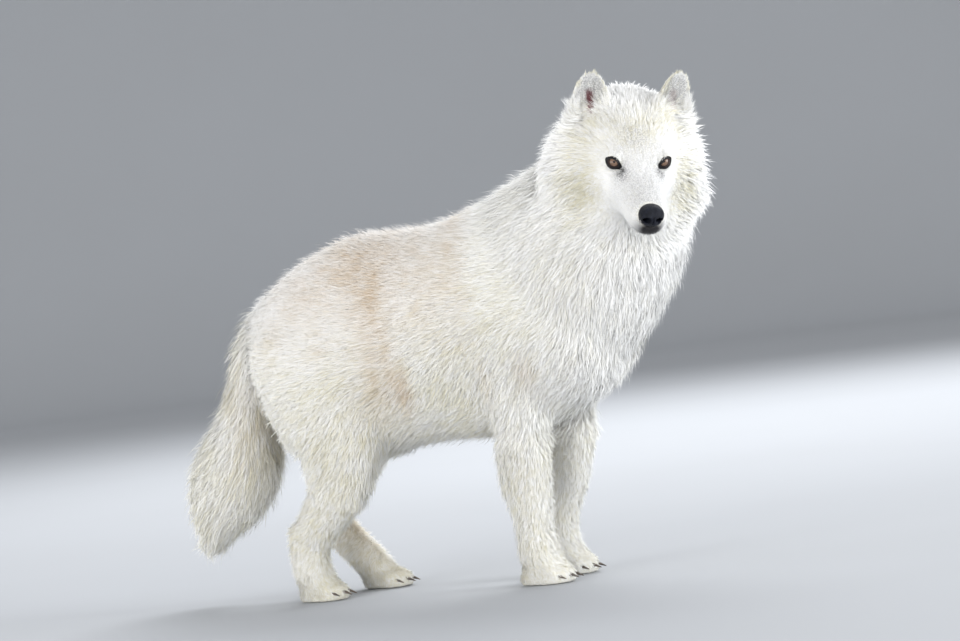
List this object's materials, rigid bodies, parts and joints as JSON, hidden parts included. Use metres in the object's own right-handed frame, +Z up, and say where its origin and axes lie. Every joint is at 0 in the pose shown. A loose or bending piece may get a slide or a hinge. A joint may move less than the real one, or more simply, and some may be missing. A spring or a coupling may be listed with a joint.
{
  "type": "arctic wolf model",
  "caption": "Life-size standing arctic wolf in winter coat, head turned to its right, resting on its paws.",
  "frame": {"origin": "on the floor, below the middle of the bounding box", "axes": "+X forward along the trunk, +Y to the wolf's left, +Z up"},
  "size_m": [1.2138, 0.4022, 0.9478],
  "materials": {
    "coat": "long cream-white winter fur with pale tan on the back",
    "nose": "moist charcoal skin, finely pebbled",
    "eye": "wet, brown iris with a dark pupil",
    "claw": "dark horn, satin"
  },
  "bodies": {
    "root": {"claw_fore_left_1": "claw", "claw_fore_left_2": "claw", "claw_fore_left_3": "claw", "claw_fore_left_4": "claw", "claw_fore_right_1": "claw", "claw_fore_right_2": "claw", "claw_fore_right_3": "claw", "claw_fore_right_4": "claw", "claw_hind_left_1": "claw", "claw_hind_left_2": "claw", "claw_hind_left_3": "claw", "claw_hind_left_4": "claw", "claw_hind_right_1": "claw", "claw_hind_right_2": "claw", "claw_hind_right_3": "claw", "claw_hind_right_4": "claw", "ear_left": "coat", "ear_right": "coat", "eye_left": "eye", "eye_right": "eye", "fore_leg_left": "coat", "fore_leg_right": "coat", "fore_paw_left": "coat", "fore_paw_right": "coat", "head": "coat", "hind_leg_left": "coat", "hind_leg_right": "coat", "hind_paw_left": "coat", "hind_paw_right": "coat", "neck": "coat", "nose": "nose", "tail": "coat", "thigh_left": "coat", "thigh_right": "coat", "trunk": "coat"}
  },
  "joints": []
}
